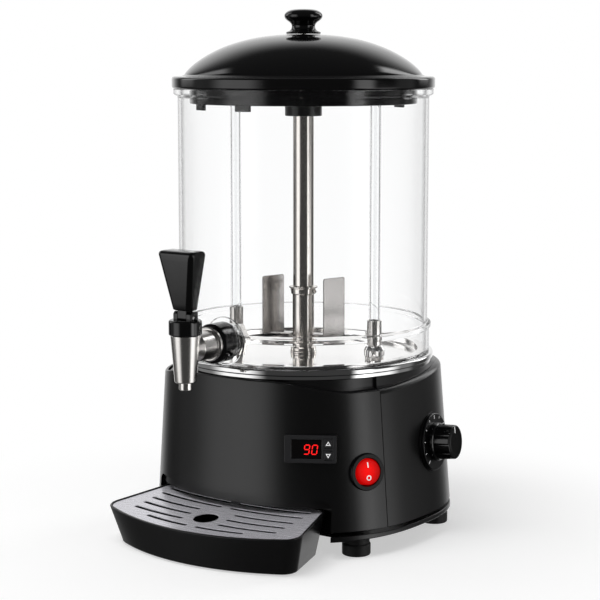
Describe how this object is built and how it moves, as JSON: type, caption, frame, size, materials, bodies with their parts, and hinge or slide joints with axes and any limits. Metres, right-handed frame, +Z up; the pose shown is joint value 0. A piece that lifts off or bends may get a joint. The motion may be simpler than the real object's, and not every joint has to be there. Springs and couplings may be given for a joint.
{
  "type": "hot chocolate dispenser",
  "caption": "Countertop hot drink dispenser: heated black base with display and switch, clear tank with a stirring agitator, lever tap, domed lid and pull-out drip tray.",
  "frame": {"origin": "centre of the bounding box's underside, at the level of the feet", "axes": "+Z up, the tap and the tray towards -Y, the thermostat knob towards +X"},
  "size_m": [0.3002, 0.3414, 0.507],
  "materials": {
    "black_moulding": "satin black",
    "gloss_black": "gloss black",
    "rubber": "matt black",
    "grey_bezel": "dark grey",
    "window": "dark red tinted",
    "red_lens": "lit translucent red",
    "clear": "clear polycarbonate",
    "steel": "brushed",
    "polished": "polished",
    "bronze": "sintered",
    "cast": "cast",
    "board": "green laminate"
  },
  "bodies": {
    "base": {"base_front_shell": "black_moulding", "base_rear_shell": "black_moulding", "base_pan": "black_moulding", "foot_front_left": "rubber", "foot_front_right": "rubber", "foot_rear_left": "rubber", "foot_rear_right": "rubber", "tray_holder": "black_moulding", "seat_ring": "polished", "water_pan": "polished", "heater_element": "steel", "motor_bracket": "steel", "gearmotor": "cast", "display_bezel": "grey_bezel", "display_window": "window", "control_board": "board", "switch_bezel": "gloss_black", "dial_plate": "black_moulding", "thermostat_body": "cast", "cord_gland": "rubber"},
    "drive": {"drive_shaft": "steel"},
    "tank": {"tank_wall": "clear", "tank_floor": "polished", "standpipe": "steel", "standpipe_nut": "steel", "shaft_bush": "bronze", "fill_tube": "clear", "vent_tube": "clear", "tube_socket_left": "steel", "tube_socket_right": "steel", "tube_nut_left": "steel", "tube_nut_right": "steel", "tap_flange": "clear", "tap_nut": "gloss_black", "tap_back_nut": "steel", "tap_body": "steel", "tap_cap": "gloss_black"},
    "agitator": {"agitator_sleeve": "steel", "agitator_collar": "steel", "agitator_tube": "steel", "agitator_hub": "steel", "agitator_cap": "steel", "paddle_left": "steel", "paddle_right": "steel"},
    "lever": {"tap_handle": "gloss_black", "handle_pin": "steel"},
    "valve": {"tap_stem": "steel"},
    "lid": {"lid_dome": "gloss_black", "lid_spigot": "black_moulding", "lid_hub": "black_moulding", "lid_knob": "gloss_black", "knob_stud": "steel"},
    "tray": {"drip_tray": "black_moulding"},
    "grid": {"drip_grid": "steel"},
    "thermostat": {"thermostat_knob": "gloss_black", "thermostat_shaft": "steel"},
    "rocker": {"switch_rocker": "red_lens"},
    "key_up": {"button_up": "grey_bezel"},
    "key_down": {"button_down": "grey_bezel"}
  },
  "joints": [
    {"name": "tank_lift", "type": "slide", "parent": "base", "child": "tank", "axis": [0, 0, 1], "range_m": [0, 0.26]},
    {"name": "lid_lift", "type": "slide", "parent": "tank", "child": "lid", "axis": [0, 0, 1], "range_m": [0, 0.12]},
    {"name": "agitator_spin", "type": "hinge", "parent": "tank", "child": "agitator", "pos_m": [-0.00916, 0.03048, 0.2], "axis": [0, 0, 1], "continuous": true},
    {"name": "drive_spin", "type": "hinge", "parent": "base", "child": "drive", "pos_m": [-0.00916, 0.03048, 0.2], "axis": [0, 0, 1], "continuous": true},
    {"name": "tap_lever", "type": "hinge", "parent": "tank", "child": "lever", "pos_m": [-0.00916, -0.15552, 0.2293], "axis": [1, 0, 0], "range_deg": [0, 35], "stiffness_Nm_per_rad": 0.35, "springref_deg": -11.46},
    {"name": "valve_lift", "type": "slide", "parent": "tank", "child": "valve", "axis": [0, 0, 1], "range_m": [0, 0.005]},
    {"name": "tray_slide", "type": "slide", "parent": "base", "child": "tray", "axis": [0, -1, 0], "range_m": [0, 0.15]},
    {"name": "grid_lift", "type": "slide", "parent": "tray", "child": "grid", "axis": [0, 0, 1], "range_m": [0, 0.003]},
    {"name": "thermostat_turn", "type": "hinge", "parent": "base", "child": "thermostat", "pos_m": [0.12455, 0.05891, 0.093], "axis": [0.9897, 0.1168, 0.0829], "range_deg": [0, 270]},
    {"name": "rocker_tilt", "type": "hinge", "parent": "base", "child": "rocker", "pos_m": [0.11115, -0.04, 0.08089], "axis": [0.4649, 0.8853, 0], "range_deg": [0, 14]},
    {"name": "key_up_press", "type": "slide", "parent": "base", "child": "key_up", "axis": [-0.4817, 0.8753, -0.0425], "range_m": [0, 0.0009], "stiffness_N_per_m": 400, "springref_m": -0.0002},
    {"name": "key_down_press", "type": "slide", "parent": "base", "child": "key_down", "axis": [-0.4817, 0.8753, -0.0425], "range_m": [0, 0.0009], "stiffness_N_per_m": 400, "springref_m": -0.0002}
  ],
  "couplings": [
    {"joint": "drive_spin", "follows": "agitator_spin", "ratio": 1},
    {"joint": "tap_lever", "follows": "valve_lift", "rad_per_m": 122.1}
  ]
}
